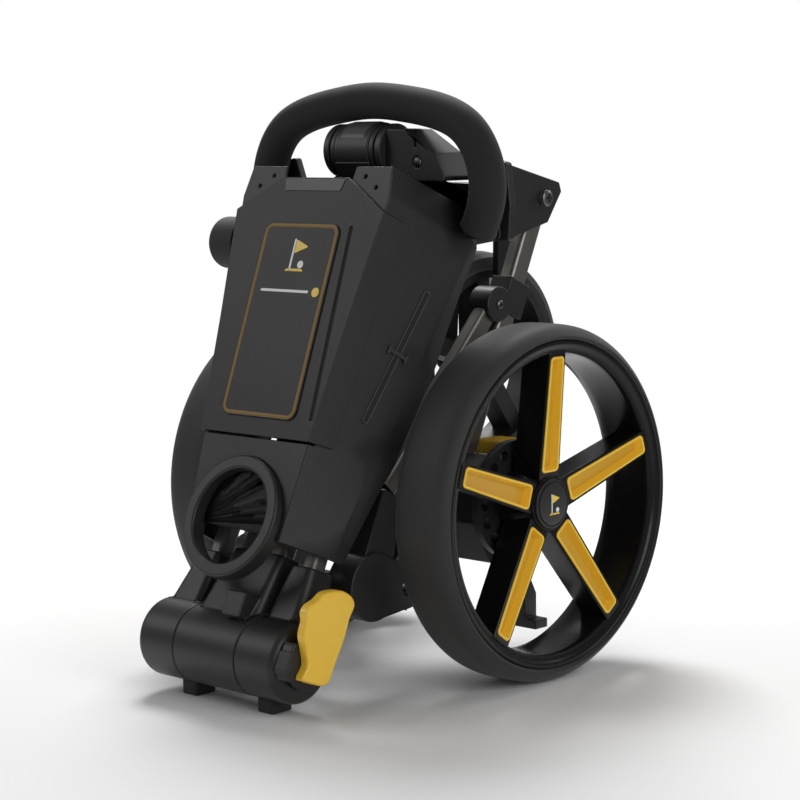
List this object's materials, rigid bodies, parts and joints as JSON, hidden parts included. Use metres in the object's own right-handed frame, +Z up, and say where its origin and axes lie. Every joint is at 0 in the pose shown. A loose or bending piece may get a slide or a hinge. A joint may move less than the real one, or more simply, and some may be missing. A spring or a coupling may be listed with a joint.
{
  "type": "folding golf push trolley",
  "caption": "Compact folding golf push trolley, stored upright: hinged masts, console with lid, loop handle, wide spoked rear wheels and a tucked-in front wheel.",
  "frame": {"origin": "middle of the footprint at floor level", "axes": "+Z up, +X to the right-hand wheel (the side with the latch lever), +Y from the console back to the wheels; the console faces -Y"},
  "size_m": [0.32, 0.422, 0.4875],
  "materials": {
    "tyre": "matte foam rubber",
    "gloss_rim": "gloss black",
    "yellow_plastic": "satin yellow",
    "steel": "brushed",
    "aluminium": "anodised gunmetal",
    "black_plastic": "fine moulded grain",
    "console_plastic": "satin moulded",
    "foam": "closed-cell foam",
    "rubber": "matte"
  },
  "bodies": {
    "chassis": {"axle_blocks": "black_plastic", "chassis_rails": "aluminium", "rail_clamps": "black_plastic", "brace_tubes": "aluminium", "rest_housings": "black_plastic", "axle_tube": "aluminium", "axle_shaft": "steel", "bag_rest_tube": "aluminium", "pivot_shaft": "steel", "stand_plate": "black_plastic", "chassis_screws": "steel", "pedal_bracket": "black_plastic", "pedal_pin": "steel"},
    "pedal": {"brake_pedal": "yellow_plastic"},
    "pin_right": {"brake_pin_right": "steel"},
    "pin_left": {"brake_pin_left": "steel"},
    "right_wheel": {"rear_tyre_right": "tyre", "rear_rim_right": "gloss_rim", "spoke_inlays_right": "yellow_plastic", "rear_bearings_right": "steel", "brake_ring_right": "black_plastic", "hub_cap_right": "gloss_rim"},
    "left_wheel": {"rear_tyre_left": "tyre", "rear_rim_left": "gloss_rim", "spoke_inlays_left": "yellow_plastic", "rear_bearings_left": "steel", "brake_ring_left": "black_plastic", "hub_cap_left": "gloss_rim"},
    "fork": {"front_fork": "black_plastic", "front_axle_bolt": "steel"},
    "front_wheel": {"front_tyre": "tyre", "front_rim": "gloss_rim", "front_bearings": "steel"},
    "lower_mast": {"hinge_barrel_right": "black_plastic", "hinge_barrel_left": "black_plastic", "fork_tubes": "aluminium", "hinge_plates": "black_plastic", "hinge_feet": "rubber", "hinge_pin": "steel", "barrel_caps": "black_plastic", "plate_screws": "steel"},
    "lever": {"latch_lever": "yellow_plastic"},
    "upper_mast": {"hinge_barrel_middle": "black_plastic", "spine_tube": "aluminium", "handle_hub": "black_plastic", "console_shell": "console_plastic", "storage_tray": "black_plastic", "lid_hinge_pin": "steel", "drinks_hoop": "black_plastic", "dock_knob": "rubber", "dock_stem": "steel"},
    "lid": {"lid": "console_plastic", "lid_pad": "console_plastic"},
    "handle": {"handle_core": "aluminium", "handle_grip": "foam", "handle_links": "black_plastic", "lock_housing": "black_plastic", "tilt_discs": "black_plastic", "tilt_pin": "steel"}
  },
  "joints": [
    {"name": "right_wheel_spin", "type": "hinge", "parent": "chassis", "child": "right_wheel", "pos_m": [0, 0.0383, 0.146], "axis": [1, 0, 0], "continuous": true},
    {"name": "left_wheel_spin", "type": "hinge", "parent": "chassis", "child": "left_wheel", "pos_m": [0, 0.0383, 0.146], "axis": [1, 0, 0], "continuous": true},
    {"name": "mast_raise", "type": "hinge", "parent": "chassis", "child": "lower_mast", "pos_m": [0, 0.12187, 0.38943], "axis": [-1, 0, 0], "range_deg": [0, 45]},
    {"name": "main_fold", "type": "hinge", "parent": "lower_mast", "child": "upper_mast", "pos_m": [0, -0.1787, 0.043], "axis": [1, 0, 0], "range_deg": [0, 150]},
    {"name": "latch_swing", "type": "hinge", "parent": "lower_mast", "child": "lever", "pos_m": [0, -0.1787, 0.043], "axis": [1, 0, 0], "range_deg": [0, 50]},
    {"name": "handle_tilt", "type": "hinge", "parent": "upper_mast", "child": "handle", "pos_m": [0, -0.01395, 0.4318], "axis": [1, 0, 0], "range_deg": [0, 60]},
    {"name": "lid_open", "type": "hinge", "parent": "upper_mast", "child": "lid", "pos_m": [0, -0.14797, 0.2121], "axis": [1, 0, 0], "range_deg": [0, 100]},
    {"name": "fork_swing", "type": "hinge", "parent": "chassis", "child": "fork", "pos_m": [0, 0.12187, 0.38943], "axis": [1, 0, 0], "range_deg": [0, 150]},
    {"name": "front_wheel_spin", "type": "hinge", "parent": "fork", "child": "front_wheel", "pos_m": [0, 0.1153, 0.247], "axis": [1, 0, 0], "continuous": true},
    {"name": "brake_press", "type": "hinge", "parent": "chassis", "child": "pedal", "pos_m": [0, 0.0553, 0.184], "axis": [-1, 0, 0], "range_deg": [0, 25]},
    {"name": "brake_pin_right_slide", "type": "slide", "parent": "chassis", "child": "pin_right", "axis": [1, 0, 0], "range_m": [0, 0.01]},
    {"name": "brake_pin_left_slide", "type": "slide", "parent": "chassis", "child": "pin_left", "axis": [-1, 0, 0], "range_m": [0, 0.01]}
  ],
  "couplings": [
    {"joint": "brake_pin_right_slide", "follows": "brake_press", "m_per_rad": 0.0229},
    {"joint": "brake_pin_left_slide", "follows": "brake_press", "m_per_rad": 0.0229}
  ]
}
